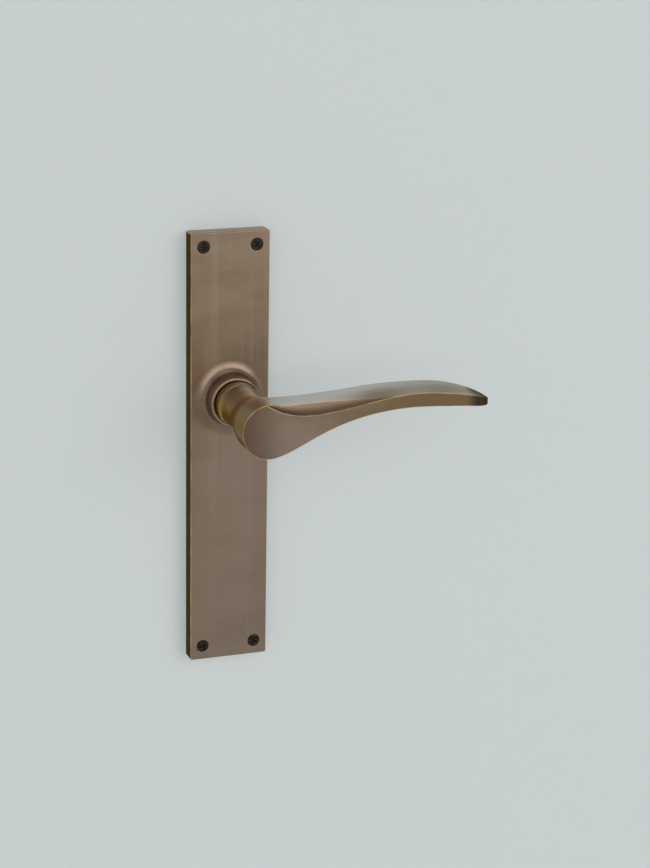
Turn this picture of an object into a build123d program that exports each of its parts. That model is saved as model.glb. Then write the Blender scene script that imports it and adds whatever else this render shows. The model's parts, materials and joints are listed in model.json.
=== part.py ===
"""Lever handle lockset for a 44 mm door.

X runs along the lever away from the door edge, Y goes through the door from the outside
face (y = 0) to the inside face, Z is up.  The origin is where the spindle axis meets the
outside face of the door.  All lengths are millimetres.  The outside handle set is built
first and mirrored about the middle of the door for the inside one.
"""
import os
from math import cos, radians, sin

from build123d import *

# ---- driving dimensions -------------------------------------------------------------
door_thickness = 44.0

plate_width = 40.0
plate_height = 220.0
plate_thickness = 8.0
plate_middle_z = -27.0
plate_wall = 3.0
plate_skin = 3.2
plate_screw_spacing_x = 27.0
plate_screw_spacing_z = 206.0
plate_edge_round = 0.5

boss_height = 19.0
boss_rim_radius = 12.9
boss_foot_radius = 18.5
boss_lip_radius = 11.9
boss_bore_radius = 11.45

neck_radius = 10.9
spigot_radius = 8.0
head_radius = 13.3
front_y = -71.0

spindle_side = 8.0
square_hole = 8.1
spindle_reach = 36.0

bush_outer_radius = 11.8
bush_bore_radius = 10.95
bush_flange_radius = 14.1
recess_radius = 15.7
recess_depth = 7.0
cover_radius = 17.0
cover_depth = 1.6
cover_ear_z = 20.5

ear_angle = 115.0
ear_half_angle = 10.0
ear_play_angle = 1.2
lever_turn_angle = 50.0

backset = 57.0
case_back_x = 19.0
case_half_height = 32.0
case_thickness = 14.0
case_wall = 1.5
forend_width = 22.0
forend_height = 114.0
forend_skin = 1.5
bolt_throw = 11.5
bolt_half_height = 10.0
bolt_width = 10.4
bolt_back_x = -44.0
follower_radius = 8.0
follower_journal = 7.2
bolt_per_radian = 12.0
hook_gap = 0.3

door_middle_y = door_thickness / 2
case_near_y = door_middle_y - case_thickness / 2
case_far_y = door_middle_y + case_thickness / 2
door_middle = Plane.XZ.offset(-door_middle_y)
forend_x = -backset


# ---- helpers ------------------------------------------------------------------------
def facing_out(y):
    """Sketch plane square to Y at the given y: local x is X, local y is Z, normal is -Y."""
    return Plane.XZ.offset(-y)


def facing_in(y):
    """Sketch plane square to Y at the given y: local x is -X, local y is Z, normal is +Y."""
    return Plane(origin=(0, y, 0), x_dir=(-1, 0, 0), z_dir=(0, 1, 0))


def facing_edge(x):
    """Sketch plane on the door edge at the given x: local x is Y, normal is -X."""
    return Plane(origin=(x, 0, 0), x_dir=(0, 1, 0), z_dir=(-1, 0, 0))


def polar(radius, angle):
    """Point in an XZ sketch at an angle measured from X towards Z."""
    return (radius * cos(radians(angle)), radius * sin(radians(angle)))


def countersunk_screw(head_radius, shank_radius, length, slot):
    """Cross-head countersunk screw below every current location, its head face at z = 0."""
    head_height = head_radius - shank_radius
    point = 2.0 * shank_radius
    top = (Align.CENTER, Align.CENTER, Align.MAX)
    Cone(shank_radius, head_radius, head_height, align=top)
    with Locations((0, 0, -head_height)):
        Cylinder(shank_radius, length - head_height - point, align=top)
    with Locations((0, 0, point - length)):
        Cone(0.25, shank_radius, point, align=top)
    cross_recess(slot, 0.75 * head_height)


def wood_screw(head_radius, neck_radius, neck_end, thread_radius, length, slot):
    """Countersunk wood screw: a plain neck down to neck_end, then the envelope of its thread."""
    head_height = head_radius - neck_radius
    point = 2.4 * thread_radius
    top = (Align.CENTER, Align.CENTER, Align.MAX)
    Cone(neck_radius, head_radius, head_height, align=top)
    with Locations((0, 0, -head_height)):
        Cylinder(neck_radius, neck_end - head_height, align=top)
    with Locations((0, 0, -neck_end)):
        Cylinder(thread_radius, length - neck_end - point, align=top)
    with Locations((0, 0, point - length)):
        Cone(0.25, thread_radius, point, align=top)
    cross_recess(slot, 0.75 * head_height)


def cross_recess(slot, depth):
    """Cross recess cut into the head below every current location."""
    top = (Align.CENTER, Align.CENTER, Align.MAX)
    Box(slot, 0.22 * slot, depth, align=top, mode=Mode.SUBTRACT)
    Box(0.22 * slot, slot, depth, align=top, mode=Mode.SUBTRACT)


def save(piece, label):
    """Name a finished sub-part and write its STEP file."""
    piece.part.label = label
    export_step(piece.part, f"parts/{label}.step")


def mirrored(piece):
    """The same sub-part on the other side of the door."""
    with BuildPart() as twin:
        mirror(piece.part, about=door_middle)
    return twin


def save_pair(piece, name):
    """Write the outside sub-part and its mirror image for the inside of the door."""
    save(piece, "outside_" + name)
    save(mirrored(piece), "inside_" + name)


# ---- handle set ---------------------------------------------------------------------
def make_backplate():
    """Long plate with a hollow back, a raised boss round the neck and four screw holes."""
    with BuildPart() as plate:
        with BuildSketch(facing_out(0)):
            with Locations((0, plate_middle_z)):
                RectangleRounded(plate_width, plate_height, 0.9)
        extrude(amount=plate_thickness)
        front_face = plate.faces().sort_by(Axis.Y)[0]
        fillet(front_face.edges(), plate_edge_round)
        # boss, with a long concave foot and a rounded rim that ends in a thin lip
        with BuildSketch(Plane.XY):
            with BuildLine():
                side = Bezier(
                    (boss_foot_radius, -plate_thickness),
                    (boss_foot_radius - 2.9, -plate_thickness),
                    (boss_rim_radius + 0.1, -plate_thickness - 1.2),
                    (boss_rim_radius, -plate_thickness - 3.8),
                )
                upper = Line(side @ 1, (boss_rim_radius - 0.4, -boss_height + 1.1))
                rim = TangentArc(
                    upper @ 1, (boss_lip_radius + 0.25, -boss_height + 0.55), tangent=upper % 1
                )
                Polyline(
                    rim @ 1,
                    (boss_lip_radius + 0.05, -boss_height + 0.5),
                    (boss_lip_radius, -boss_height),
                    (bush_bore_radius, -boss_height),
                    (bush_bore_radius, -plate_thickness + 2.0),
                    (boss_foot_radius, -plate_thickness + 2.0),
                    side @ 0,
                )
            make_face()
        revolve(axis=Axis.Y)
        # bore of the boss, seat of the bush and the recess for the spring
        with BuildSketch(Plane.XY):
            with BuildLine():
                Polyline(
                    (0, 1),
                    (recess_radius, 1),
                    (recess_radius, 1.6 - recess_depth),
                    (13.9, 1.6 - recess_depth),
                    (13.9, -recess_depth),
                    (bush_flange_radius, -recess_depth),
                    (bush_flange_radius, -recess_depth - 1.2),
                    (bush_outer_radius, -recess_depth - 1.2),
                    (bush_outer_radius, -16),
                    (boss_bore_radius, -16),
                    (boss_bore_radius, -boss_height - 1),
                    (0, -boss_height - 1),
                    close=True,
                )
            make_face()
        revolve(axis=Axis.Y, mode=Mode.SUBTRACT)
        # slot in which the ear of the cam swings between its two stops
        with BuildSketch(facing_out(0)):
            first = ear_angle + ear_half_angle + ear_play_angle
            last = ear_angle - lever_turn_angle - ear_half_angle - ear_play_angle
            with BuildLine():
                reach = CenterArc((0, 0), recess_radius, last, first - last)
                Polyline(reach @ 1, (0, 0), reach @ 0)
            make_face()
        extrude(amount=recess_depth, mode=Mode.SUBTRACT)
        # seat of the spring cover with its two tapped holes
        with BuildSketch(facing_out(0)):
            Circle(cover_radius + 0.2)
            SlotOverall(2 * cover_ear_z + 8.4, 8.4, rotation=90)
        extrude(amount=cover_depth, mode=Mode.SUBTRACT)
        with BuildSketch(facing_out(0)):
            with Locations((0, cover_ear_z), (0, -cover_ear_z)):
                Circle(1.25)
        extrude(amount=6.4, mode=Mode.SUBTRACT)
        # hollow back above and below the mechanism, clear of the screw holes
        upper_end = plate_middle_z + plate_height / 2 - plate_wall
        lower_end = plate_middle_z - plate_height / 2 + plate_wall
        for near_z, far_z in ((30.0, upper_end), (-30.0, lower_end)):
            with BuildSketch(facing_out(0)):
                with Locations((0, (near_z + far_z) / 2)):
                    Rectangle(plate_width - 2 * plate_wall, abs(far_z - near_z))
                screw_z = plate_middle_z + plate_screw_spacing_z / 2
                if far_z < 0:
                    screw_z = plate_middle_z - plate_screw_spacing_z / 2
                with Locations((0, screw_z)):
                    with GridLocations(plate_screw_spacing_x, 1, 2, 1):
                        Rectangle(12.0, 12.0, mode=Mode.SUBTRACT)
            extrude(amount=plate_thickness - plate_skin, mode=Mode.SUBTRACT)
        with Locations(facing_out(-plate_thickness)):
            with Locations((0, plate_middle_z)):
                with GridLocations(plate_screw_spacing_x, plate_screw_spacing_z, 2, 2):
                    CounterSinkHole(2.1, 3.4, plate_thickness, 90)
        # catch for the fixed leg of the return spring
        with BuildSketch(facing_out(-cover_depth)):
            with Locations(polar(14.9, 196.0)):
                Circle(1.2)
        extrude(amount=recess_depth - 1.6 - cover_depth)
    return plate


def grip_section(x, low, top, ridge, back):
    """Cross-section of the lever at x: flat front, gently crowned top, rounded back and underside."""
    ridge_y = back - 2.4
    crown_depth = ridge_y - front_y
    height = ridge - low
    with BuildSketch(Plane.YZ.offset(x)) as section:
        with BuildLine():
            front = Line((front_y, low), (front_y, top))
            crown = Spline(
                front @ 1,
                (front_y + 0.35 * crown_depth, top + 0.58 * (ridge - top)),
                (ridge_y, ridge),
                (back - 0.5, ridge - 0.20 * height),
                (back, ridge - 0.50 * height),
            )
            Spline(
                crown @ 1,
                (back - 1.6, low + 0.20 * height),
                (back - 4.6, low + 0.05 * height),
                front @ 0,
                tangents=(crown % 1, (-1, -0.06)),
            )
        make_face()
    return section.sketch


def make_lever():
    """Lever handle: spigot, waisted neck, round head and the long blade of the grip."""
    sections = [
        grip_section(0.0, -13.0, 12.2, 12.9, -57.0),
        grip_section(11.0, -10.3, 11.2, 13.3, -56.4),
        grip_section(22.0, -5.0, 11.2, 13.5, -56.2),
        grip_section(36.0, 0.7, 11.0, 14.45, -56.5),
        grip_section(54.0, 5.0, 11.6, 16.25, -57.2),
        grip_section(73.0, 6.4, 13.1, 16.7, -58.0),
        grip_section(90.0, 5.6, 12.1, 15.4, -58.5),
        grip_section(101.0, 4.8, 10.4, 12.4, -59.0),
        grip_section(109.0, 4.2, 8.2, 9.0, -59.3),
        grip_section(115.0, 3.6, 4.9, 5.1, -59.5),
    ]
    with BuildPart() as grip:
        loft(sections)
        # the plan outline rolls the front face round the tip
        with BuildSketch(Plane.XY.offset(-30)):
            with BuildLine():
                front = Line((-20, front_y), (106.2, front_y))
                corner = TangentArc(front @ 1, (112.8, -66.3), tangent=front % 1)
                tail = ThreePointArc(corner @ 1, (113.0, -62.0), (110.2, -57.6))
                Polyline(tail @ 1, (109, -45), (-20, -45), front @ 0)
            make_face()
        extrude(amount=60, mode=Mode.INTERSECT)

    with BuildPart() as lever:
        with BuildSketch(Plane.XY):
            with BuildLine():
                foot = Polyline(
                    (0, -0.6),
                    (spigot_radius - 0.5, -0.6),
                    (spigot_radius, -1.1),
                    (spigot_radius, -4.0),
                    (spigot_radius - 0.6, -4.0),
                    (spigot_radius - 0.6, -5.05),
                    (spigot_radius, -5.05),
                    (spigot_radius, -recess_depth + 0.2),
                    (neck_radius, -recess_depth + 0.2),
                    (neck_radius, -24.6),
                    (neck_radius - 0.35, -24.9),
                )
                shoulder = Spline(
                    foot @ 1, (10.1, -25.8), (9.85, -27.4), tangents=((-0.5, -0.5), (-0.08, -1))
                )
                waist = Spline(
                    shoulder @ 1,
                    (9.6, -33.0),
                    (9.6, -39.5),
                    (10.3, -45.0),
                    (11.6, -49.6),
                    (12.8, -54.8),
                    (head_radius, -60.5),
                    tangents=(shoulder % 1, (0, -1)),
                )
                Polyline(waist @ 1, (head_radius, front_y), (0, front_y), (0, -0.6))
            make_face()
        revolve(axis=Axis.Y)
        add(grip.part)
        # long cove between the front face and the crown, widest near the head
        for x, low, shoulder, depth in (
            (-2.0, 13.3, 13.6, 0.3),
            (3.0, 10.4, 12.6, 1.6),
            (11.0, 7.5, 12.4, 2.7),
            (21.0, 6.5, 12.4, 3.0),
            (34.0, 7.6, 12.6, 2.7),
            (48.0, 9.9, 13.1, 1.8),
            (60.0, 12.0, 13.5, 0.9),
            (72.0, 13.4, 13.7, 0.2),
        ):
            with BuildSketch(Plane.YZ.offset(x)):
                with BuildLine():
                    cove = ThreePointArc(
                        (front_y, low),
                        (front_y + 0.58 * depth, low + 0.42 * (shoulder - low)),
                        (front_y + depth, shoulder),
                    )
                    Polyline(
                        cove @ 1,
                        (front_y + depth, shoulder + 3),
                        (front_y - 2, shoulder + 3),
                        (front_y - 2, low),
                        cove @ 0,
                    )
                make_face()
        loft(mode=Mode.SUBTRACT)
        with BuildSketch(facing_out(0)):
            Rectangle(square_hole, square_hole)
        extrude(amount=spindle_reach + 2, mode=Mode.SUBTRACT)
        with BuildSketch(Plane.XY.offset(-square_hole / 2)):
            with Locations((0, -27.5)):
                Circle(2.5)
        extrude(amount=-12, mode=Mode.SUBTRACT)
    return lever


def make_neck_bush():
    """Flanged nylon bush in which the neck turns."""
    with BuildPart() as bush:
        with BuildSketch(Plane.XY):
            with BuildLine():
                Polyline(
                    (bush_bore_radius, -recess_depth),
                    (bush_flange_radius, -recess_depth),
                    (bush_flange_radius, -recess_depth - 1.2),
                    (bush_outer_radius, -recess_depth - 1.2),
                    (bush_outer_radius, -16),
                    (bush_bore_radius, -16),
                    close=True,
                )
            make_face()
        revolve(axis=Axis.Y)
    return bush


def make_spring_cam():
    """Cam keyed to the spigot; its ear swings between the stops and carries the spring tab."""
    with BuildPart() as cam:
        with BuildSketch(facing_out(0.2 - recess_depth + 1.2)):
            Circle(13.6)
            with BuildLine():
                reach = CenterArc((0, 0), 15.4, ear_angle - ear_half_angle, 2 * ear_half_angle)
                Polyline(reach @ 1, (0, 0), reach @ 0)
            make_face()
            Circle(spigot_radius, mode=Mode.SUBTRACT)
        extrude(amount=1.2)
        with BuildSketch(facing_out(-2.2)):
            with BuildLine():
                outer = CenterArc((0, 0), 15.4, ear_angle - ear_half_angle, 2 * ear_half_angle)
                Line(outer @ 1, polar(13.8, ear_angle + ear_half_angle))
                inner = CenterArc((0, 0), 13.8, ear_angle - ear_half_angle, 2 * ear_half_angle)
                Line(inner @ 0, outer @ 0)
            make_face()
        extrude(amount=recess_depth - 0.2 - 2.2)
    return cam


def make_thrust_washer():
    """Steel washer between the cam and the retaining clip."""
    with BuildPart() as washer:
        with BuildSketch(facing_out(-5.05)):
            Circle(10.6)
            Circle(spigot_radius + 0.05, mode=Mode.SUBTRACT)
        extrude(amount=recess_depth - 1.4 - 5.05)
    return washer


def make_retaining_clip():
    """Open spring-steel clip in the groove of the spigot, with an eye at each end."""
    with BuildPart() as clip:
        with BuildSketch(facing_out(-4.0)):
            Circle(9.3)
            with Locations(polar(9.7, 254), polar(9.7, 286)):
                Circle(1.5)
            Circle(spigot_radius - 0.6, mode=Mode.SUBTRACT)
            with Locations((0, -9)):
                Rectangle(2.6, 6, mode=Mode.SUBTRACT)
            with Locations(polar(9.8, 254), polar(9.8, 286)):
                Circle(0.6, mode=Mode.SUBTRACT)
        extrude(amount=1.0)
    return clip


def make_return_spring():
    """Two-turn torsion spring: one leg on the tab of the cam, the other on the fixed catch."""
    wire_radius = 0.55
    mean_radius = 12.5
    fixed_leg_angle = 203.4
    turns = 2.0 + (ear_angle - ear_half_angle - 3.0 - fixed_leg_angle) / 360.0
    rise = 1.28 * turns
    with BuildPart() as upright:
        with BuildLine() as coil:
            Helix(pitch=1.28, height=rise, radius=mean_radius)
        with BuildSketch(Plane(origin=coil.line @ 0, z_dir=coil.line % 0)):
            Circle(wire_radius)
        sweep(path=coil.line)
        for end in (coil.line @ 0, coil.line @ 1):
            outward = Vector(end.X, end.Y, 0).normalized()
            with BuildSketch(Plane(origin=end - outward * 0.1, z_dir=outward)):
                Circle(wire_radius)
            extrude(amount=2.6)
    start = (cos(radians(fixed_leg_angle)), 0, sin(radians(fixed_leg_angle)))
    with BuildPart() as spring:
        with Locations(Plane(origin=(0, -2.5, 0), x_dir=start, z_dir=(0, -1, 0))):
            add(upright.part)
    return spring


def make_spring_cover():
    """Thin plate that closes the spring recess, with two ears for its screws."""
    with BuildPart() as cover:
        with BuildSketch(facing_out(-0.2)):
            Circle(cover_radius)
            SlotOverall(2 * cover_ear_z + 8, 8, rotation=90)
            Circle(spigot_radius + 0.4, mode=Mode.SUBTRACT)
        extrude(amount=cover_depth - 0.2)
        with Locations(facing_in(-0.2)):
            with Locations((0, cover_ear_z), (0, -cover_ear_z)):
                CounterSinkHole(1.3, 2.4, 4, 90)
    return cover


def make_cover_screws():
    """Two small countersunk screws that hold the spring cover from behind."""
    with BuildPart() as screws:
        with Locations(facing_in(-0.2)):
            with Locations((0, cover_ear_z), (0, -cover_ear_z)):
                countersunk_screw(2.4, 1.25, 5.6, 2.6)
    return screws


def make_grub_screw():
    """Socket grub screw from below that pins the lever to the spindle."""
    with BuildPart() as grub:
        with BuildSketch(Plane.XY.offset(-spindle_side / 2 - 0.05)):
            with Locations((0, -27.5)):
                Circle(2.5)
        extrude(amount=-4.6)
        with BuildSketch(Plane.XY.offset(-spindle_side / 2 - 4.65)):
            with Locations((0, -27.5)):
                RegularPolygon(1.25, 6, major_radius=False)
        extrude(amount=2.4, mode=Mode.SUBTRACT)
    return grub


def make_plate_screws(thread_radius):
    """Four countersunk wood screws of one plate."""
    with BuildPart() as screws:
        with Locations(facing_out(0.2 - plate_thickness)):
            with Locations((0, plate_middle_z)):
                with GridLocations(plate_screw_spacing_x, plate_screw_spacing_z, 2, 2):
                    wood_screw(3.2, 1.5, plate_thickness + 0.6, thread_radius, 24.8, 3.9)
    return screws


# ---- spindle and latch --------------------------------------------------------------
def make_spindle():
    """Square bar that joins both levers through the follower."""
    with BuildPart() as spindle:
        with BuildSketch(facing_out(door_thickness + spindle_reach)):
            RectangleRounded(spindle_side, spindle_side, 0.4)
        extrude(amount=door_thickness + 2 * spindle_reach)
    return spindle


def make_forend_skin(near_x):
    """One of the two forend strips, with the bolt hole and the screw holes."""
    with BuildPart() as strip:
        with BuildSketch(Plane.YZ.offset(near_x)):
            with Locations((door_middle_y, 0)):
                RectangleRounded(forend_width, forend_height, 3.0)
                Rectangle(bolt_width + 0.6, 2 * bolt_half_height + 0.6, mode=Mode.SUBTRACT)
        extrude(amount=forend_skin)
        with Locations(Plane.YZ.offset(near_x)):
            with Locations((door_middle_y, 47), (door_middle_y, -47)):
                Cylinder(2.15, 8, mode=Mode.SUBTRACT)
            with Locations((door_middle_y, 26), (door_middle_y, -26)):
                Cylinder(1.5, 8, mode=Mode.SUBTRACT)
    return strip


def make_face_plate():
    """Visible brass strip on the door edge, countersunk for its screws."""
    strip = make_forend_skin(forend_x)
    with BuildPart() as face_plate:
        add(strip.part)
        with Locations(facing_edge(forend_x)):
            with Locations((door_middle_y, 47), (door_middle_y, -47)):
                Cone(2.15, 3.5, 1.35, align=(Align.CENTER, Align.CENTER, Align.MAX),
                     mode=Mode.SUBTRACT)
            with Locations((door_middle_y, 26), (door_middle_y, -26)):
                Cone(1.5, 2.8, 1.3, align=(Align.CENTER, Align.CENTER, Align.MAX),
                     mode=Mode.SUBTRACT)
    return face_plate


def make_latch_case():
    """Pressed case of the latch: a shallow box open towards the inside of the door."""
    front_x = forend_x + 2 * forend_skin
    length = case_back_x - front_x
    with BuildPart() as case:
        with BuildSketch(facing_out(case_far_y - case_wall)):
            with Locations(((front_x + case_back_x) / 2, 0)):
                Rectangle(length, 2 * case_half_height)
        extrude(amount=case_thickness - case_wall)
        with BuildSketch(facing_out(case_far_y - case_wall)):
            with Locations(((front_x + case_back_x) / 2, 0)):
                Rectangle(length - 2 * case_wall, 2 * (case_half_height - case_wall))
        extrude(amount=case_thickness - 2 * case_wall, mode=Mode.SUBTRACT)
        # pillars for the cover screws
        with BuildSketch(facing_out(case_far_y - case_wall)):
            with Locations(*case_screw_points()):
                Circle(3.2)
                Circle(1.5, mode=Mode.SUBTRACT)
        extrude(amount=case_thickness - 2 * case_wall)
        # journal hole, and the bolt hole in the front wall
        with BuildSketch(facing_out(case_far_y)):
            Circle(follower_journal + 0.05)
        extrude(amount=case_thickness, mode=Mode.SUBTRACT)
        with BuildSketch(Plane.YZ.offset(front_x)):
            with Locations((door_middle_y, 0)):
                Rectangle(bolt_width + 0.6, 2 * bolt_half_height + 0.6)
            with Locations((door_middle_y, 26), (door_middle_y, -26)):
                Circle(1.5)
        extrude(amount=case_wall, mode=Mode.SUBTRACT)
    return case


def case_screw_points():
    """Places of the three case screws in an XZ sketch, clear of the tail of the bolt."""
    front_x = forend_x + 2 * forend_skin + 7.5
    back_x = case_back_x - 5.0
    z = case_half_height - 5.0
    return [(front_x, -z), (back_x, z), (back_x, -z)]


def make_latch_cover():
    """Flat cover of the latch case."""
    front_x = forend_x + 2 * forend_skin
    with BuildPart() as cover:
        with BuildSketch(facing_out(case_far_y)):
            with Locations(((front_x + case_back_x) / 2, 0)):
                Rectangle(case_back_x - front_x, 2 * case_half_height)
            Circle(follower_journal + 0.05, mode=Mode.SUBTRACT)
        extrude(amount=case_wall)
        with Locations(facing_in(case_far_y)):
            with Locations(*[(-x, z) for x, z in case_screw_points()]):
                Cone(1.5, 2.9, 1.4, align=(Align.CENTER, Align.CENTER, Align.MAX),
                     mode=Mode.SUBTRACT)
                Cylinder(1.5, 8, mode=Mode.SUBTRACT)
    return cover


def make_latch_cover_screws():
    """Countersunk screws that close the latch case."""
    with BuildPart() as screws:
        with Locations(facing_in(case_far_y)):
            with Locations(*[(-x, z) for x, z in case_screw_points()]):
                countersunk_screw(2.9, 1.5, 9.0, 3.0)
    return screws


def make_latch_bolt():
    """Spring bolt with a bevelled nose and a slot for its tail."""
    nose_x = forend_x - bolt_throw
    near_y = door_middle_y - bolt_width / 2
    far_y = door_middle_y + bolt_width / 2
    with BuildPart() as bolt:
        with BuildSketch(facing_out(far_y)):
            with Locations(((nose_x + bolt_back_x) / 2, 0)):
                Rectangle(bolt_back_x - nose_x, 2 * bolt_half_height)
        extrude(amount=bolt_width)
        with BuildSketch(Plane.XY.offset(-bolt_half_height - 1)):
            with BuildLine():
                bevel = ThreePointArc(
                    (forend_x - 0.4, near_y),
                    (forend_x - 5.6, near_y + 3.5),
                    (nose_x, far_y - 1.2),
                )
                Polyline(bevel @ 1, (nose_x - 1, far_y - 1.2), (nose_x - 1, near_y - 1),
                         (forend_x - 0.4, near_y - 1), bevel @ 0)
            make_face()
        extrude(amount=2 * bolt_half_height + 2, mode=Mode.SUBTRACT)
        with BuildSketch(facing_out(door_middle_y + 1.5)):
            with Locations((bolt_back_x - 4, 0)):
                Rectangle(8, 8)
        extrude(amount=3, mode=Mode.SUBTRACT)
        with BuildSketch(facing_out(far_y)):
            with Locations((bolt_back_x - 4.5, 0)):
                Circle(1.5)
        extrude(amount=bolt_width, mode=Mode.SUBTRACT)
    return bolt


def make_bolt_tail():
    """Flat tail of the bolt: it runs over the follower and hooks down behind its arm."""
    hook_x = 2.0 + hook_gap
    with BuildPart() as tail:
        with BuildSketch(facing_out(door_middle_y + 1.5)):
            with BuildLine():
                Polyline(
                    (bolt_back_x - 8, -4),
                    (bolt_back_x, -4),
                    (bolt_back_x, -8),
                    (bolt_back_x + 4, -8),
                    (bolt_back_x + 4, 17.4),
                    (hook_x, 17.4),
                    (hook_x, 9.6),
                    (hook_x + 3.2, 9.6),
                    (hook_x + 3.2, 20.6),
                    (bolt_back_x, 20.6),
                    (bolt_back_x, 4),
                    (bolt_back_x - 8, 4),
                    close=True,
                )
            make_face()
            with Locations((bolt_back_x - 4.5, 0)):
                Circle(1.5, mode=Mode.SUBTRACT)
        extrude(amount=3)
        with BuildSketch(Plane.YZ.offset(bolt_back_x)):
            with Locations((door_middle_y, 0)):
                Circle(1.2)
        extrude(amount=4, mode=Mode.SUBTRACT)
    return tail


def make_tail_rivet():
    """Rivet that ties the tail into the bolt."""
    with BuildPart() as rivet:
        with BuildSketch(facing_out(door_middle_y + bolt_width / 2)):
            with Locations((bolt_back_x - 4.5, 0)):
                Circle(1.5)
        extrude(amount=bolt_width)
    return rivet


def make_guide_pin():
    """Pin on the tail that keeps the bolt spring straight."""
    with BuildPart() as pin:
        with BuildSketch(Plane.YZ.offset(bolt_back_x)):
            with Locations((door_middle_y, 0)):
                Circle(1.2)
        extrude(amount=22)
    return pin


def make_bolt_spring():
    """Compression spring between the tail and the bridge."""
    start_x = bolt_back_x + 4.5
    turns = 8
    length = 24.9
    with BuildPart() as upright:
        with BuildLine() as coil:
            Helix(pitch=length / turns, height=length, radius=3.0)
        with BuildSketch(Plane(origin=coil.line @ 0, z_dir=coil.line % 0)):
            Circle(0.4)
        sweep(path=coil.line)
    with BuildPart() as spring:
        with Locations(Plane(origin=(start_x, door_middle_y, 0), z_dir=(1, 0, 0))):
            add(upright.part)
    return spring


def make_spring_bridge():
    """Fixed block across the case that the bolt spring pushes against."""
    with BuildPart() as bridge:
        with BuildSketch(facing_out(case_far_y - case_wall)):
            with Locations((-13, 0)):
                Rectangle(2.4, 12)
        extrude(amount=case_thickness - 2 * case_wall)
        with BuildSketch(Plane.YZ.offset(-16)):
            with Locations((door_middle_y, 0)):
                Circle(1.6)
        extrude(amount=6, mode=Mode.SUBTRACT)
    return bridge


def make_follower():
    """Follower on the spindle; the edge of its arm is an involute, so the bolt moves evenly."""
    near_y = case_near_y + case_wall + 0.3
    far_y = case_far_y - case_wall - 0.3

    def arm_edge(turn):
        """Point of the driving edge that touches the hook after the given turn in radians."""
        x = 2.0 + bolt_per_radian * turn
        z = bolt_per_radian
        return (x * cos(turn) - z * sin(turn), x * sin(turn) + z * cos(turn))

    with BuildPart() as follower:
        with BuildSketch(facing_out(far_y)):
            Circle(follower_radius)
        extrude(amount=far_y - near_y)
        with BuildSketch(facing_out(case_far_y)):
            Circle(follower_journal)
        extrude(amount=case_thickness)
        with BuildSketch(facing_out(door_middle_y + 2.8)):
            with BuildLine():
                drive = Spline(arm_edge(0), arm_edge(0.3), arm_edge(0.6), arm_edge(0.88))
                crown = Line(drive @ 1, (-3.4, 16.4))
                Polyline(crown @ 1, (-5.4, 5.0), (2.0, 5.0), drive @ 0)
            make_face()
        extrude(amount=5.6)
        with BuildSketch(facing_out(case_far_y)):
            Rectangle(square_hole, square_hole)
        extrude(amount=case_thickness, mode=Mode.SUBTRACT)
    return follower


def make_face_plate_screws():
    """Two short screws that hold the face plate to the forend and case."""
    with BuildPart() as screws:
        with Locations(facing_edge(forend_x)):
            with Locations((door_middle_y, 26), (door_middle_y, -26)):
                countersunk_screw(2.8, 1.5, 5.6, 3.2)
    return screws


def make_forend_screws():
    """Two countersunk wood screws that hold the latch in the door edge."""
    with BuildPart() as screws:
        with Locations(facing_edge(forend_x)):
            with Locations((door_middle_y, 47), (door_middle_y, -47)):
                wood_screw(3.5, 1.75, 2 * forend_skin + 1.0, 2.0, 25.0, 4.2)
    return screws


os.makedirs("parts", exist_ok=True)

save_pair(make_backplate(), "backplate")
save_pair(make_lever(), "lever_handle")
save_pair(make_neck_bush(), "neck_bush")
save_pair(make_spring_cam(), "spring_cam")
save_pair(make_thrust_washer(), "thrust_washer")
save_pair(make_retaining_clip(), "retaining_clip")
save_pair(make_return_spring(), "return_spring")
save_pair(make_spring_cover(), "spring_cover")
save_pair(make_cover_screws(), "cover_screws")
save_pair(make_grub_screw(), "grub_screw")
save(make_plate_screws(1.75), "outside_plate_screws")
save(mirrored(make_plate_screws(1.95)), "inside_plate_screws")

save(make_spindle(), "spindle")
save(make_face_plate(), "face_plate")
save(make_forend_skin(forend_x + forend_skin), "forend")
save(make_latch_case(), "latch_case")
save(make_latch_cover(), "latch_cover")
save(make_latch_cover_screws(), "latch_cover_screws")
save(make_latch_bolt(), "latch_bolt")
save(make_bolt_tail(), "bolt_tail")
save(make_tail_rivet(), "tail_rivet")
save(make_guide_pin(), "spring_guide_pin")
save(make_bolt_spring(), "bolt_spring")
save(make_spring_bridge(), "spring_bridge")
save(make_follower(), "follower")
save(make_face_plate_screws(), "face_plate_screws")
save(make_forend_screws(), "forend_screws")
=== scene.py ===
"""Studio picture of the lever handle lockset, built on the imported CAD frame.

Units are metres. X runs along the lever, Y goes through the door from outside to inside and Z is up.
"""
import json
import math
from collections import namedtuple

import bmesh
import bpy
from mathutils import Matrix, Vector


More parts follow.
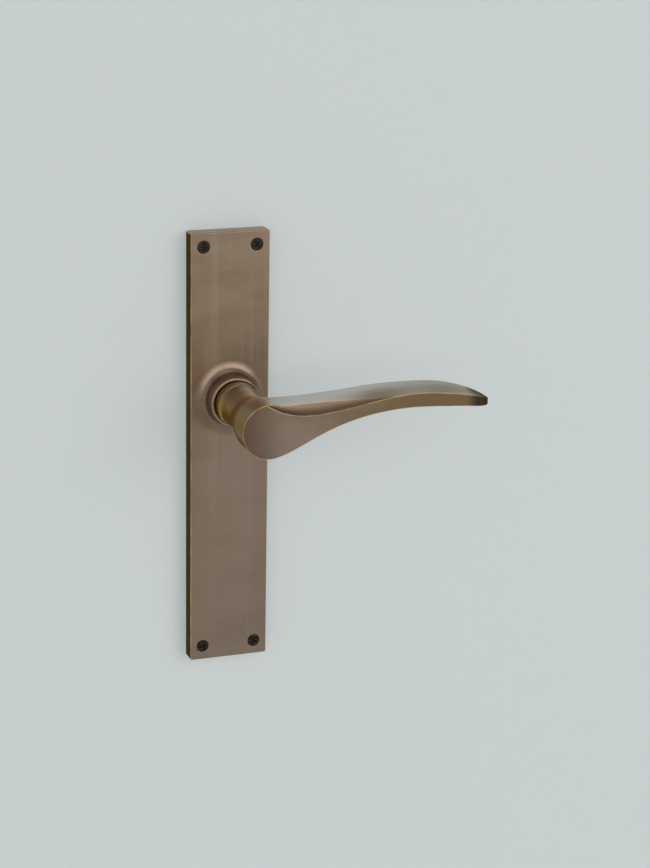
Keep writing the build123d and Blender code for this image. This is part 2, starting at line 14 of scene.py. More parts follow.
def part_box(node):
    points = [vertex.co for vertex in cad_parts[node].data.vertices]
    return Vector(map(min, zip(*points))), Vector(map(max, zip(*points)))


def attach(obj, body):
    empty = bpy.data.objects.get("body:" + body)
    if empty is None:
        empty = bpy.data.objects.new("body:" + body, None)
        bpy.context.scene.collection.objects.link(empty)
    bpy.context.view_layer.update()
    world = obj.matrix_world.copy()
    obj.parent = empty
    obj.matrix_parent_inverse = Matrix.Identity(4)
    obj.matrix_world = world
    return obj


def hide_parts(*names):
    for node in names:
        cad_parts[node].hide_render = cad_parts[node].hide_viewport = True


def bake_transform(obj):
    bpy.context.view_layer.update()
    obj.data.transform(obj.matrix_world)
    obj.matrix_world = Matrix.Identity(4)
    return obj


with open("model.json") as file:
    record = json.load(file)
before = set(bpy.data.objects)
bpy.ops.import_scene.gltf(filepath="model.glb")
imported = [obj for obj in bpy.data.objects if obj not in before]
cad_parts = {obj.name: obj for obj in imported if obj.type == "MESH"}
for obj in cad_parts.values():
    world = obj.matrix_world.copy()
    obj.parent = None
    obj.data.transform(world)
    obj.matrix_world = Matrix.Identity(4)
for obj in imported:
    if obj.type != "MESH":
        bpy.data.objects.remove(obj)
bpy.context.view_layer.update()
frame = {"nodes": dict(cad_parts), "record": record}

# camera: where it stands, how it is turned, and its lens
CAMERA_PLACE = Vector((-0.3403, -1.0857, 0.3226))
CAMERA_TURN = math.radians(19.92)
CAMERA_DROP = math.radians(16.79)
CAMERA_ROLL = math.radians(1.03)
CAMERA_LENS = 98.9

MM = 0.001
DOOR_MIDDLE_Y = 22.0  # millimetres


# ---- node helpers -------------------------------------------------------------------
class Nodes:
    """Short ways to add and join the nodes of one tree."""

    def __init__(self, tree):
        self.nodes, self.links = tree.nodes, tree.links

    def node(self, kind, **settings):
        """New node of a kind, with its settings."""
        made = self.nodes.new(kind)
        for key, value in settings.items():
            setattr(made, key, value)
        return made

    def put(self, value, socket):
        """Joins an output to the socket, or sets the socket to a plain value."""
        if hasattr(value, "is_linked"):
            self.links.new(value, socket)
        else:
            socket.default_value = value

    def math(self, operation, a, b=0.0):
        """Result of one sum; a and b are outputs or numbers."""
        made = self.node("ShaderNodeMath", operation=operation)
        self.put(a, made.inputs[0])
        self.put(b, made.inputs[1])
        return made.outputs[0]

    def times(self, first, *others):
        """Product of all the values."""
        for other in others:
            first = self.math("MULTIPLY", first, other)
        return first

    def dot(self, a, b):
        """Scalar product of two directions."""
        made = self.node("ShaderNodeVectorMath", operation="DOT_PRODUCT")
        self.put(a, made.inputs[0])
        self.put(b, made.inputs[1])
        return made.outputs["Value"]

    def ramp(self, value, low, high, to_low=0.0, to_high=1.0):
        """Smooth step from to_low to to_high as value goes from low to high."""
        made = self.node("ShaderNodeMapRange", interpolation_type="SMOOTHSTEP")
        self.put(value, made.inputs["Value"])
        limits = {"From Min": low, "From Max": high, "To Min": to_low, "To Max": to_high}
        for socket, limit in limits.items():
            made.inputs[socket].default_value = limit
        return made.outputs["Result"]


class Mat(Nodes):
    """A node material."""

    def __init__(self, name):
        self.mat = bpy.data.materials.new(name)
        self.mat.use_nodes = True
        super().__init__(self.mat.node_tree)
        self.shader = self.nodes["Principled BSDF"]
        self.coords = self.node("ShaderNodeTexCoord").outputs["Object"]

    def mix(self, factor, a, b):
        """Colour a where the factor is 0 and colour b where it is 1."""
        made = self.node("ShaderNodeMix", data_type="RGBA")
        self.put(factor, made.inputs[0])
        self.put(a if hasattr(a, "is_linked") else (*a, 1), made.inputs[6])
        self.put(b if hasattr(b, "is_linked") else (*b, 1), made.inputs[7])
        return made.outputs[2]

    def noise(self, scale, stretch=(1, 1, 1), detail=3.0, rough=0.5, shift=(0, 0, 0)):
        """Cloudy noise in the object's own space; a large stretch along an axis makes it fine along it."""
        place = self.node("ShaderNodeMapping")
        self.put(self.coords, place.inputs["Vector"])
        place.inputs["Scale"].default_value = stretch
        place.inputs["Location"].default_value = shift
        made = self.node("ShaderNodeTexNoise")
        self.links.new(place.outputs[0], made.inputs["Vector"])
        made.inputs["Scale"].default_value = scale
        made.inputs["Detail"].default_value = detail
        made.inputs["Roughness"].default_value = rough
        return made.outputs["Fac"]

    def part_of(self, vector, axis):
        """One part of a vector: 0 for X, 1 for Y and 2 for Z."""
        split = self.node("ShaderNodeSeparateXYZ")
        self.links.new(vector, split.inputs[0])
        return split.outputs[axis]

    def edge(self, radius, low, high):
        """1 on sharp edges of the shape, 0 on its faces."""
        round_normal = self.node("ShaderNodeBevel", samples=6)
        round_normal.inputs["Radius"].default_value = radius
        flat = self.node("ShaderNodeNewGeometry").outputs["Normal"]
        return self.ramp(self.dot(round_normal.outputs[0], flat), low, high, 1.0, 0.0)

    def relief(self, height, strength, distance, round_radius=0.0):
        """Bump from a height, on top of softly rounded edges."""
        bump = self.node("ShaderNodeBump")
        bump.inputs["Strength"].default_value = strength
        bump.inputs["Distance"].default_value = distance
        self.put(height, bump.inputs["Height"])
        if round_radius:
            soft = self.node("ShaderNodeBevel", samples=6)
            soft.inputs["Radius"].default_value = round_radius
            self.links.new(soft.outputs[0], bump.inputs["Normal"])
        self.links.new(bump.outputs[0], self.shader.inputs["Normal"])

    def finish(self, colour, metallic, roughness):
        """Joins the colour and the roughness to the shader and gives the finished material."""
        self.put(colour if hasattr(colour, "is_linked") else (*colour, 1), self.shader.inputs["Base Color"])
        self.put(metallic, self.shader.inputs["Metallic"])
        self.put(roughness, self.shader.inputs["Roughness"])
        return self.mat


# colours of the bronze, as metal tints
BROWN = (0.308, 0.216, 0.140)
LIGHT_BROWN = (0.390, 0.290, 0.200)
DARK_BROWN = (0.215, 0.142, 0.084)
MAUVE = (0.290, 0.214, 0.162)
RUSSET = (0.270, 0.160, 0.105)
OLIVE = (0.190, 0.122, 0.046)
# painted highlight: the pale sheen laid on the top of the grip
PAINTED_TOP_SHEEN = (0.620, 0.600, 0.585)
# polished brass of the neck, laid stronger on its left and lower side as a painted warm reflection
OLD_GOLD_AND_REFLECTION = (0.350, 0.205, 0.052)
# painted warm reflection low on the neck
PAINTED_AMBER_REFLECTION = (0.620, 0.370, 0.085)
BRIGHT_GOLD = (0.900, 0.620, 0.220)
# oxide of the unbrushed sides, also laid as painted shade on the lever's flare
OXIDE_AND_SHADE = (0.080, 0.048, 0.017)
# painted shade on the end of the grip
PAINTED_TIP_SHADE = (0.030, 0.017, 0.006)
# painted shade: darkens the left of the head and the cove of the grip
PAINTED_SHADE_BROWN = (0.110, 0.060, 0.030)
GRAZING_TINT = (0.80, 0.68, 0.50, 1)

LACQUER_WEIGHT = 0.8
LACQUER_ROUGHNESS = 0.24


class Bronze(Mat):
    """Lacquered aged bronze; grain says how fine its brush marks are along X, Y and Z.

    The masks read places and directions of the object's own frame. Places are in metres.
    """

    def __init__(self, name, grain):
        super().__init__(name)
        normal = self.node("ShaderNodeTexCoord").outputs["Normal"]
        self.along, self.up = self.part_of(self.coords, 0), self.part_of(self.coords, 2)
        self.right_facing = self.part_of(normal, 0)
        self.door_facing = self.part_of(normal, 1)
        self.up_facing = self.part_of(normal, 2)
        self.sideways = self.math("ABSOLUTE", self.right_facing)
        self.cloud = self.noise(38, stretch=(0.7, 1, 1.5), detail=4, rough=0.55)
        self.streak = self.noise(1.0, stretch=grain, detail=5, rough=0.62)
        veil = self.noise(14, detail=2, shift=(0.3, 0.1, 0.7))
        wide_grain = [0.16 * part for part in grain]
        band = self.noise(1.0, stretch=wide_grain, detail=3, shift=(0.5, 0.2, 0.9))
        self.colour = self.mix(self.ramp(veil, 0.35, 0.70), BROWN, MAUVE)
        self.tint(self.times(self.ramp(self.cloud, 0.40, 0.72), 0.75), DARK_BROWN)
        self.tint(self.ramp(self.streak, 0.30, 0.75, 0.0, 0.16), DARK_BROWN)
        self.tint(self.ramp(band, 0.48, 0.78, 0.0, 0.28), LIGHT_BROWN)

    def tint(self, mask, colour):
        """Lays a colour over the bronze where the mask is 1."""
        self.colour = self.mix(mask, self.colour, colour)

    def age(self, unbrushed, rim, polish=None):
        """Dark unbrushed sides, rims worn to gold and a polish that has no lacquer; then the shader."""
        self.tint(unbrushed, OXIDE_AND_SHADE)
        worn = self.times(rim, self.ramp(self.noise(160, detail=3), 0.30, 0.55, 0.35, 1.0))
        self.tint(worn, BRIGHT_GOLD)
        rough = self.ramp(self.streak, 0.25, 0.8, 0.32, 0.44)
        rough = self.math("SUBTRACT", rough, self.times(worn, 0.08))
        rough = self.math("ADD", rough, self.times(unbrushed, 0.22))
        bare = unbrushed
        if polish:
            rough = self.math("SUBTRACT", rough, self.times(polish, 0.14))
            bare = self.math("MAXIMUM", unbrushed, self.times(polish, 0.9))
        grit = self.noise(900, detail=2)
        fine = self.math("ADD", self.times(self.streak, 0.7), self.times(grit, 0.3))
        self.relief(fine, 0.25, 0.02 * MM, 0.25 * MM)
        lacquer = self.times(self.math("SUBTRACT", 1.0, bare), LACQUER_WEIGHT)
        self.put(lacquer, self.shader.inputs["Coat Weight"])
        self.shader.inputs["Coat Roughness"].default_value = LACQUER_ROUGHNESS
        self.shader.inputs["Specular Tint"].default_value = GRAZING_TINT
        return self.finish(self.colour, 1.0, rough)


def lever_bronze():
    """Bronze brushed along the lever."""
    m = Bronze("bronze_lever", grain=(60, 1300, 1300))
    along, up_facing, cloud = m.along, m.up_facing, m.cloud
    # the grip turns yellower to the tip, and a painted highlight makes its top pale
    m.tint(m.times(m.ramp(along, 0.030, 0.072), m.ramp(cloud, 0.25, 0.6, 0.75, 1.0)), OLIVE)
    # painted shade darkens the head and the neck, most on their left
    m.tint(m.ramp(along, -0.016, 0.012, 0.90, 0.0), PAINTED_SHADE_BROWN)
    on_grip = m.ramp(along, -0.004, 0.004)
    top_sheen = m.times(m.ramp(up_facing, 0.77, 0.95), m.ramp(along, 0.030, 0.110, 0.95, 0.50))
    m.tint(m.times(top_sheen, on_grip), PAINTED_TOP_SHEEN)
    # painted shade in the cove under the top
    cove = m.times(m.ramp(up_facing, 0.10, 0.35), m.ramp(up_facing, 0.72, 0.90, 1.0, 0.0))
    m.tint(m.times(cove, m.ramp(along, 0.045, 0.080, 0.65, 0.0), on_grip), PAINTED_SHADE_BROWN)
    # old gold of polished brass on the neck and the back of the head, but not on the face turned away from the
    # door; laid stronger on the left and lower side, it is partly a painted warm reflection
    from_door = m.math("SUBTRACT", m.part_of(m.coords, 1), DOOR_MIDDLE_Y * MM)
    depth = m.math("ABSOLUTE", from_door)
    outward = m.times(m.door_facing, m.math("SIGN", from_door))
    face = m.times(m.ramp(outward, 0.50, 0.90), m.ramp(depth, 0.075, 0.085))
    neck = m.times(
        m.ramp(depth, 0.032, 0.040),
        m.math("SUBTRACT", 1.0, face),
        m.ramp(along, 0.004, 0.012, 1.0, 0.0),
        m.ramp(m.right_facing, -0.85, 0.3, 1.0, 0.30),
        m.ramp(up_facing, 0.10, 0.75, 1.0, 0.20),
    )
    m.tint(neck, OLD_GOLD_AND_REFLECTION)
    # painted amber reflection on the lower neck
    amber_reflection = m.times(m.ramp(up_facing, -0.35, 0.25, 0.8, 0.0), m.ramp(cloud, 0.40, 0.62),
                    m.ramp(depth, 0.064, 0.074, 1.0, 0.15))
    m.tint(m.times(neck, amber_reflection), PAINTED_AMBER_REFLECTION)
    # painted shade on the flare at the back of the head
    m.tint(m.times(neck, m.ramp(depth, 0.066, 0.080, 0.0, 0.45)), OXIDE_AND_SHADE)
    # painted shade darkens the end of the grip, less on its top
    tip = m.ramp(along, 0.0990, 0.1060)
    m.tint(m.times(tip, m.ramp(up_facing, 0.20, 0.65, 1.0, 0.20)), PAINTED_TIP_SHADE)
    unbrushed = m.times(m.ramp(m.sideways, 0.12, 0.45), m.ramp(along, 0.100, 0.104))
    rim = m.times(m.edge(0.6 * MM, 0.92, 0.998), m.math("SUBTRACT", 1.0, tip))
    return m.age(unbrushed, rim, polish=neck)


def plate_bronze():
    """Bronze brushed from top to bottom, for the long plates and the face plate."""
    m = Bronze("bronze_plate", grain=(1400, 1400, 22))
    m.tint(m.ramp(m.up, -0.060, 0.010, 0.45, 0.0), MAUVE)
    # patina gathers in the foot of the boss
    squares = m.math("POWER", m.along, 2.0), m.math("POWER", m.up, 2.0)
    radius = m.math("SQRT", m.math("ADD", *squares))
    ring = m.times(m.ramp(radius, 0.0135, 0.0150), m.ramp(radius, 0.0175, 0.0215, 1.0, 0.0))
    m.tint(m.times(ring, m.ramp(m.cloud, 0.40, 0.62, 0.45, 0.95)), DARK_BROWN)
    # redder towards the long edges, whose sides are not brushed
    from_middle = m.math("ABSOLUTE", m.along)
    m.tint(m.ramp(from_middle, 0.009, 0.020, 0.0, 0.25), RUSSET)
    at_edge = m.times(m.ramp(from_middle, 0.0185, 0.0195), m.ramp(from_middle, 0.021, 0.023, 1.0, 0.0))
    unbrushed = m.times(m.ramp(m.sideways, 0.90, 0.99), at_edge)
    # gold worn onto the lip of the boss and the rounded long edges; painted shade makes it fainter on the right
    lip = m.times(m.edge(0.28 * MM, 0.88, 0.998), m.ramp(radius, 0.016, 0.020, 1.0, 0.4))
    arris = m.times(m.ramp(m.sideways, 0.12, 0.40), m.ramp(m.sideways, 0.88, 0.98, 1.0, 0.0),
                    at_edge, m.ramp(m.cloud, 0.35, 0.65, 0.75, 0.25))
    right_edge_shade = m.times(m.right_facing, at_edge)
    rim = m.times(m.math("MAXIMUM", lip, arris), m.ramp(right_edge_shade, 0.05, 0.25, 1.0, 0.15))
    return m.age(unbrushed, rim)


def turned_metal(name, light, dark, rough_low, rough_high, grain=(1, 1, 1), scale=500, edge=None):
    """Plain metal with a fine grain, a little staining and optional rubbed edges."""
    m = Mat(name)
    fine = m.noise(scale, stretch=grain, detail=4, rough=0.6)
    stain = m.noise(70, detail=3)
    colour = m.mix(m.ramp(stain, 0.35, 0.75), light, dark)
    if edge:
        colour = m.mix(m.times(m.edge(0.2 * MM, 0.90, 0.998), 0.7), colour, edge)
    m.relief(fine, 0.20, 0.015 * MM, 0.08 * MM)
    return m.finish(colour, 1.0, m.ramp(fine, 0.3, 0.7, rough_low, rough_high))


def black_oxide(name):
    """Blackened steel, rubbed to brown on its edges."""
    m = Mat(name)
    grit = m.noise(700, detail=4)
    colour = m.mix(m.ramp(grit, 0.35, 0.7), (0.020, 0.016, 0.013), (0.045, 0.034, 0.026))
    colour = m.mix(m.times(m.edge(0.18 * MM, 0.88, 0.995), 0.8), colour, (0.20, 0.14, 0.09))
    m.relief(grit, 0.3, 0.02 * MM, 0.06 * MM)
    return m.finish(colour, 0.85, m.ramp(grit, 0.3, 0.7, 0.34, 0.52))


def moulded_nylon(name):
    """Off-white nylon with a fine moulded grain."""
    m = Mat(name)
    grain = m.noise(1200, detail=2)
    colour = m.mix(m.ramp(m.noise(60), 0.3, 0.7), (0.80, 0.78, 0.71), (0.72, 0.69, 0.60))
    m.relief(grain, 0.15, 0.01 * MM, 0.1 * MM)
    return m.finish(colour, 0.0, m.ramp(grain, 0.3, 0.7, 0.38, 0.52))


MATERIALS = {
    "bronze": plate_bronze(),
    "bolt_brass": turned_metal("bolt_brass", light=(0.75, 0.58, 0.30), dark=(0.58, 0.43, 0.21),
                               rough_low=0.20, rough_high=0.34, grain=(0.1, 1, 1), scale=700,
                               edge=(0.9, 0.75, 0.45)),
    "black_steel": black_oxide("black_steel"),
    "zinc_steel": turned_metal("zinc_steel", light=(0.62, 0.63, 0.63), dark=(0.48, 0.49, 0.47),
                               rough_low=0.26, rough_high=0.42, scale=450, edge=(0.8, 0.8, 0.8)),
    "case_steel": turned_metal("case_steel", light=(0.40, 0.41, 0.42), dark=(0.32, 0.33, 0.34),
                               rough_low=0.34, rough_high=0.50, grain=(0.15, 1, 1), scale=600,
                               edge=(0.55, 0.55, 0.55)),
    "spring_steel": turned_metal("spring_steel", light=(0.36, 0.36, 0.37), dark=(0.24, 0.24, 0.25),
                                 rough_low=0.24, rough_high=0.36, scale=900),
    "nylon": moulded_nylon("nylon"),
}
LEVER_BRONZE = lever_bronze()

slots = {s["node"]: s["material_slot"] for s in frame["record"]["subparts"]}
for name, node in frame["nodes"].items():
    node.data.materials.clear()
    node.data.materials.append(LEVER_BRONZE if "lever" in name else MATERIALS[slots[name]])


# ---- pieces that need more than the CAD shows ---------------------------------------
def add_piece(name, bm, node):
    """Finished mesh that stands for a CAD node, with its slot and material."""
    mesh = bpy.data.meshes.new(name)
    bm.normal_update()
    bm.to_mesh(mesh)
    bm.free()
    mesh.polygons.foreach_set("use_smooth", [True] * len(mesh.polygons))
    mesh.set_sharp_from_angle(angle=math.radians(38))
    obj = bpy.data.objects.new(name, mesh)
    bpy.context.collection.objects.link(obj)
    mesh.materials.append(MATERIALS[slots[node]])
    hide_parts(node)
    return obj


def join_rings(bm, upper, lower):
    """Quads between two rings of equal length."""
    count = len(upper)
    for i in range(count):
        j = (i + 1) % count
        bm.faces.new((upper[i], upper[j], lower[j], lower[i]))


def thread_radius(depth, turn, envelope, core, pitch):
    """Radius of a screw at a depth and turn: a core with one sharp ridge winding round it."""
    phase = (depth / pitch - turn) % 1.0
    ridge = max(0.0, 1.0 - abs(2.0 * phase - 1.0) * 1.9)
    return core + (envelope - core) * ridge


# All in millimetres. head: radius of the head; neck: radius of the plain neck, which ends at depth
# neck_end; thread: outer radius of the thread; point: length of the tip; slot: width of the cross recess.
Screw = namedtuple("Screw", "head neck neck_end thread length point slot pitch")
SCREW_SIDES = 36
STEPS_PER_PITCH = 8
CORE_SHARE = 0.74  # core radius as a share of the thread's
TIP_RADIUS = 0.2


def screw(bm, place, size, head_turn):
    """Countersunk cross-head screw; place turns its own frame, head face at z = 0, into the scene."""
    cone = size.head - size.neck

    def ring(depth, radius_at):
        made = []
        for i in range(SCREW_SIDES):
            turn = i / SCREW_SIDES
            radius = radius_at(turn)
            x, y = radius * math.cos(math.tau * turn), radius * math.sin(math.tau * turn)
            made.append(bm.verts.new(place @ (Vector((x, y, -depth)) * MM)))
        return made

    def plain_ring(depth, radius):
        return ring(depth, lambda turn: radius)

    # bevelled rim of the head, cone and plain neck
    neck_foot = size.neck
    if size.neck_end <= cone:
        neck_foot = min(size.neck, CORE_SHARE * size.thread)
    rings = [
        plain_ring(0.0, size.head - 0.12),
        plain_ring(0.12, size.head),
        plain_ring(0.30, size.head - 0.22),
        plain_ring(cone, size.neck),
        plain_ring(size.neck_end, neck_foot),
    ]
    # thread, which fades in over one pitch and narrows to the tip
    start = max(size.neck_end, cone) + 0.15
    steps = int((size.length - start) / size.pitch * STEPS_PER_PITCH)
    for step in range(steps):
        depth = start + (size.length - start) * step / steps
        tip = min(1.0, (size.length - depth) / size.point)
        envelope = TIP_RADIUS + (size.thread - TIP_RADIUS) * tip
        fade = min(1.0, (depth - start) / size.pitch)
        core = (CORE_SHARE - 0.14 * (1 - tip)) * envelope
        crest = core + (envelope - core) * fade
        rings.append(ring(depth, lambda turn: thread_radius(depth, turn, crest, core, size.pitch)))
    for upper, lower in zip(rings, rings[1:]):
        join_rings(bm, upper, lower)
    apex = bm.verts.new(place @ (Vector((0, 0, -size.length)) * MM))
    for i in range(SCREW_SIDES):
        bm.faces.new((rings[-1][i], rings[-1][(i + 1) % SCREW_SIDES], apex))

    # cross recess with sloping walls
    arm, half = size.slot / 2, 0.11 * size.slot
    cross = ((arm, -half), (arm, half), (half, half), (half, arm), (-half, arm), (-half, half),
             (-arm, half), (-arm, -half), (-half, -half), (-half, -arm), (half, -arm), (half, -half))
    spin = Matrix.Rotation(head_turn, 3, "Z")

    def cross_loop(share, z):
        return [bm.verts.new(place @ (spin @ Vector((share * x, share * y, z)) * MM)) for x, y in cross]

    mouth = cross_loop(1.0, 0.0)
    floor = cross_loop(0.62, -0.72 * cone)
    join_rings(bm, floor, mouth)
    bm.faces.new(floor)
    rims = []
    for loop in (rings[0], mouth):
        rims += [bm.edges.get((loop[i], loop[(i + 1) % len(loop)])) for i in range(len(loop))]
    bmesh.ops.triangle_fill(bm, use_beauty=True, use_dissolve=False, edges=rims)


def screw_set(node, body, places, direction, size):
    """All the screws of one CAD node as one piece, each head turned its own way."""
    bm = bmesh.new()
    turned = Vector((0, 0, -1)).rotation_difference(Vector(direction)).to_matrix().to_4x4()
    for i, spot in enumerate(places):
        screw(bm, Matrix.Translation(spot) @ turned, size, head_turn=0.45 + 1.13 * i)
    bmesh.ops.recalc_face_normals(bm, faces=bm.faces)
    obj = add_piece(node + "_threaded", bm, node)
    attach(obj, body)


def corners(node, reach, axis, face_side):
    """Head centres of screws at the corners of a node's box; reach is the head radius in metres.

    The screws run along the axis, 0 for X and 1 for Y, and their heads are at its low end if
    face_side is negative, else at its high end.
    """
    low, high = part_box(node)
    spans = []
    for k in range(3):
        if k == axis:
            spans.append((low[k] if face_side < 0 else high[k],))
        elif high[k] - low[k] < 2.5 * reach:
            spans.append(((low[k] + high[k]) / 2,))
        else:
            spans.append((low[k] + reach, high[k] - reach))
    return [Vector((x, y, z)) for x in spans[0] for y in spans[1] for z in spans[2]]


COVER_SCREW = Screw(head=2.4, neck=1.25, neck_end=1.15, thread=1.25, length=5.6, point=1.0, slot=2.6, pitch=0.5)
FOREND_SCREW = Screw(head=3.5, neck=1.75, neck_end=4.0, thread=2.0, length=25.0, point=4.8, slot=4.2, pitch=1.8)
FACE_SCREW = Screw(head=2.8, neck=1.5, neck_end=1.3, thread=1.5, length=5.6, point=1.0, slot=3.2, pitch=0.6)
CASE_SCREW = Screw(head=2.9, neck=1.5, neck_end=1.4, thread=1.5, length=9.0, point=1.0, slot=3.0, pitch=0.6)

# the inside plate screws are one gauge thicker than the outside ones
for side, direction, thread in (("outside", 1, 1.75), ("inside", -1, 1.95)):
    node = side + "_plate_screws"
    size = Screw(head=3.2, neck=1.5, neck_end=8.6, thread=thread, length=24.8,
                 point=2.4 * thread, slot=3.9, pitch=1.7)
    screw_set(node, "mounted", corners(node, size.head * MM, 1, -direction), (0, direction, 0), size)
    node = side + "_cover_screws"
    spots = corners(node, COVER_SCREW.head * MM, 1, direction)
    screw_set(node, "mounted", spots, (0, -direction, 0), COVER_SCREW)

for node, size in (("forend_screws", FOREND_SCREW), ("face_plate_screws", FACE_SCREW)):
    screw_set(node, "mounted", corners(node, size.head * MM, 0, -1), (1, 0, 0), size)

# the cover of the latch has screws at three of its corners
head = CASE_SCREW.head * MM
low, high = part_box("latch_cover_screws")
left, right, bottom, top = low.x + head, high.x - head, low.z + head, high.z - head
spots = [Vector((left, high.y, bottom)), Vector((right, high.y, top)), Vector((right, high.y, bottom))]
screw_set("latch_cover_screws", "mounted", spots, (0, -1, 0), CASE_SCREW)


# ---- springs ------------------------------------------------------------------------
def tube(bm, points, radius, sides=12):
    """Closed tube along a line of points, without twist."""
    rings = []
    across = None
    for i, spot in enumerate(points):
        ahead = (points[min(i + 1, len(points) - 1)] - points[max(i - 1, 0)]).normalized()
        if across is None:
            across = ahead.orthogonal().normalized()
        across = (across - ahead * across.dot(ahead)).normalized()
        beside = ahead.cross(across)
        ring = []
        for k in range(sides):
            turn = math.tau * k / sides
            ring.append(bm.verts.new(spot + (across * math.cos(turn) + beside * math.sin(turn)) * radius))
        rings.append(ring)
    for upper, lower in zip(rings, rings[1:]):
        join_rings(bm, upper, lower)
    bm.faces.new(list(reversed(rings[0])))
    bm.faces.new(rings[-1])
    bmesh.ops.recalc_face_normals(bm, faces=bm.faces)


def round_axis(radius, angle, y):
    """Point at an angle, measured from X towards Z, round the spindle axis; millimetres in, metres out."""
    turn = math.radians(angle)
    return Vector((radius * math.cos(turn), y, radius * math.sin(turn))) * MM


def mirrored(y):
    """Y of the same place on the inside of the door, in metres."""
    return 2 * DOOR_MIDDLE_Y * MM - y


# return springs: under two turns from a leg held by the plate to a leg held by the cam; angles in
# degrees, sizes in millimetres and the rise of the coil in millimetres per degree
FIXED_LEG, CAM_LEG = 203.4, 822.0
COIL_RADIUS, COIL_START_Y, COIL_RISE = 12.5, -2.5, 1.28 / 360
LEG_END, LEG_BEND, BEND_LIFT = 15.0, 13.6, 0.3
STILL_Y, MOVED_Y = -3.1, -4.1
RETURN_WIRE = 0.55
leg_y = COIL_START_Y - COIL_RISE * (CAM_LEG - FIXED_LEG)
for side in ("outside", "inside"):
    points = [
        round_axis(LEG_END, FIXED_LEG, COIL_START_Y),
        round_axis(LEG_BEND, FIXED_LEG, COIL_START_Y),
        round_axis(COIL_RADIUS + BEND_LIFT, FIXED_LEG + 1.2, COIL_START_Y),
    ]
    angle = FIXED_LEG + 6
    while angle < CAM_LEG - 5:
        points.append(round_axis(COIL_RADIUS, angle, COIL_START_Y - COIL_RISE * (angle - FIXED_LEG)))
        angle += 5
    points += [
        round_axis(COIL_RADIUS + BEND_LIFT, CAM_LEG - 1.2, leg_y),
        round_axis(LEG_BEND, CAM_LEG, leg_y),
        round_axis(LEG_END, CAM_LEG, leg_y),
    ]
    still, moved = STILL_Y * MM, MOVED_Y * MM
    if side == "inside":
        for spot in points:
            spot.y = mirrored(spot.y)
        still, moved = mirrored(still), mirrored(moved)
    bm = bmesh.new()
    tube(bm, points, RETURN_WIRE * MM)
    spring = add_piece(side + "_return_spring_coil", bm, side + "_return_spring")
    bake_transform(spring)

# bolt spring: a wire wound round X, with its turns a little closer at both ends
BOLT_SPRING_TURNS, BOLT_SPRING_STEPS = 8, 30
END_CLOSENESS = 0.136
low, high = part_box("bolt_spring")
wire, coil = 0.4 * MM, 3.0 * MM
start_x, end_x = low.x + wire, high.x - wire
points = []
for i in range(BOLT_SPRING_TURNS * BOLT_SPRING_STEPS + 1):
    share = i / (BOLT_SPRING_TURNS * BOLT_SPRING_STEPS)
    turn = math.tau * BOLT_SPRING_TURNS * share
    along = share - END_CLOSENESS * math.sin(math.tau * share) / math.tau
    x = start_x + (end_x - start_x) * along
    y = DOOR_MIDDLE_Y * MM + coil * math.cos(turn)
    points.append(Vector((x, y, coil * math.sin(turn))))
bm = bmesh.new()
tube(bm, points, wire, sides=10)
spring = add_piece("bolt_spring_coil", bm, "bolt_spring")
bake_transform(spring)


# ---- stage, light and camera --------------------------------------------------------
def panel(name, corners, colour, glow, see_through_back):
    """Flat stage panel with a faint glow that keeps shadows soft.

    One that is clear from behind lets views from inside the door show the object.
    """
    mesh = bpy.data.meshes.new(name)
    mesh.from_pydata(corners, [], [(0, 1, 2, 3)])
    obj = bpy.data.objects.new(name, mesh)
    bpy.context.collection.objects.link(obj)
    m = Mat(name)
    m.shader.inputs["Emission Color"].default_value = (*colour, 1)
    m.shader.inputs["Emission Strength"].default_value = glow
    m.shader.inputs["Specular IOR Level"].default_value = 0.2
    m.finish(colour, 0.0, 0.9)
    if see_through_back:
        clear = m.node("ShaderNodeBsdfTransparent")
        side = m.node("ShaderNodeNewGeometry")
        mix = m.node("ShaderNodeMixShader")
        m.links.new(side.outputs["Backfacing"], mix.inputs[0])
        m.links.new(m.shader.outputs[0], mix.inputs[1])
        m.links.new(clear.outputs[0], mix.inputs[2])
        m.links.new(mix.outputs[0], m.nodes["Material Output"].inputs["Surface"])
    obj.data.materials.append(m.mat)


FLOOR_Z, FLOOR_REACH, FLOOR_GREY = -0.42, 15, (0.72, 0.735, 0.735)
WALL_Y, WALL_REACH, WALL_TOP, WALL_GREY = 0.6 * MM, 0.65, 0.6, (0.450, 0.479, 0.475)
floor_corners = [(x * FLOOR_REACH, y * FLOOR_REACH, FLOOR_Z) for x, y in ((-1, -1), (1, -1), (1, 1), (-1, 1))]
wall_corners = [(-WALL_REACH, WALL_Y, FLOOR_Z), (WALL_REACH, WALL_Y, FLOOR_Z),
                (WALL_REACH, WALL_Y, WALL_TOP), (-WALL_REACH, WALL_Y, WALL_TOP)]
panel("floor", floor_corners, FLOOR_GREY, glow=0.08, see_through_back=False)
panel("door_side_backdrop", wall_corners, WALL_GREY, glow=0.47, see_through_back=True)

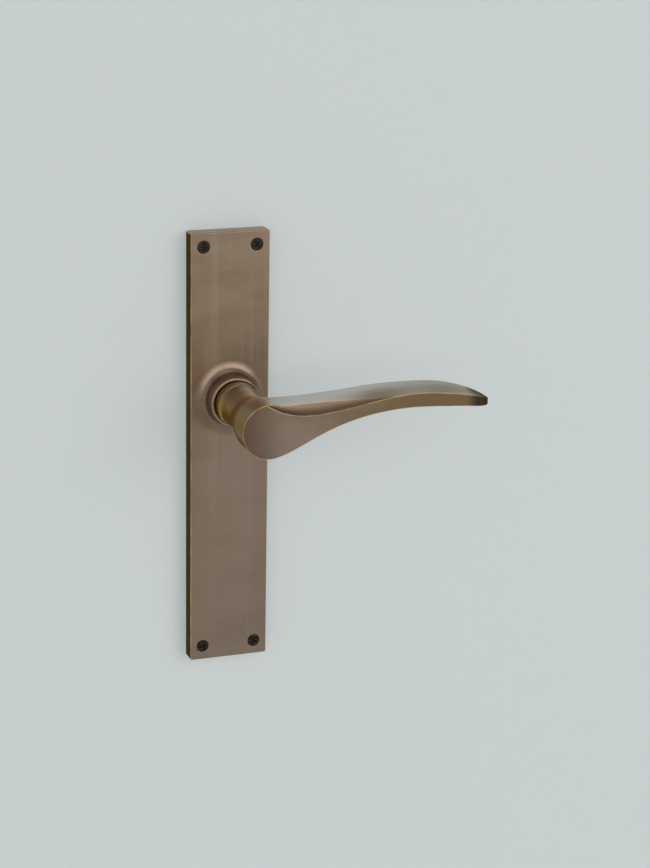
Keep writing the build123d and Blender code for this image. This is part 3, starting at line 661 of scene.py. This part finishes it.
# one large soft lamp in front, to the right, aimed at the spindle axis
KEY_PLACE, KEY_SIZE, KEY_WATTS = Vector((1.6, -1.9, 0.5)), 1.6, 7
key_data = bpy.data.lights.new("key_lamp", "AREA")
key_data.shape = "RECTANGLE"
key_data.size = key_data.size_y = KEY_SIZE
key_data.energy = KEY_WATTS
key_data.color = (1.0, 0.99, 0.97)
key_lamp = bpy.data.objects.new("key_lamp", key_data)
key_lamp.location = KEY_PLACE
key_lamp.rotation_euler = (-KEY_PLACE).to_track_quat("-Z", "Y").to_euler()
bpy.context.collection.objects.link(key_lamp)

world = bpy.data.worlds.new("studio")
bpy.context.scene.world = world
world.use_nodes = True
sky = Nodes(world.node_tree)
ray = sky.node("ShaderNodeTexCoord").outputs["Generated"]


def towards(direction):
    """Cosine of the angle between a ray and the direction."""
    return sky.dot(ray, Vector(direction).normalized())


# a bright bank in front, dimmer below it, with a dim ceiling, a soft light straight above
# and a dark side to the right
bank = sky.ramp(towards((0.05, -1.0, 0.12)), 0.50, 0.97, 0.50, 1.80)
rise = towards((0, 0, 1))
ceiling = sky.ramp(rise, 0.40, 0.66, 1.0, 0.42)
below = sky.ramp(rise, -0.50, 0.10, 0.80, 1.0)
right_side = sky.ramp(towards((1.0, -0.3, -0.1)), 0.80, 0.97, 1.0, 0.16)
overhead = sky.ramp(rise, 0.80, 0.96, 0.0, 0.55)
background = sky.nodes["Background"]
background.inputs["Color"].default_value = (0.97, 0.99, 1.0, 1)
glow = sky.math("ADD", sky.times(bank, ceiling, right_side, below), overhead)
sky.put(glow, background.inputs["Strength"])
bpy.context.scene.view_settings.view_transform = "Standard"

camera_data = bpy.data.cameras.new("camera")
camera_data.lens = CAMERA_LENS
camera_data.sensor_width = 36
camera = bpy.data.objects.new("camera", camera_data)
# the camera looks along aim; level runs to its right and down to its foot before the roll
aim = Vector((math.sin(CAMERA_TURN) * math.cos(CAMERA_DROP),
              math.cos(CAMERA_TURN) * math.cos(CAMERA_DROP),
              -math.sin(CAMERA_DROP)))
level = Vector((math.cos(CAMERA_TURN), -math.sin(CAMERA_TURN), 0))
down = aim.cross(level)
right = level * math.cos(CAMERA_ROLL) - down * math.sin(CAMERA_ROLL)
down = level * math.sin(CAMERA_ROLL) + down * math.cos(CAMERA_ROLL)
axes = Matrix((right, -down, -aim)).transposed()
camera.matrix_world = Matrix.Translation(CAMERA_PLACE) @ axes.to_4x4()
bpy.context.collection.objects.link(camera)
bpy.context.scene.camera = camera
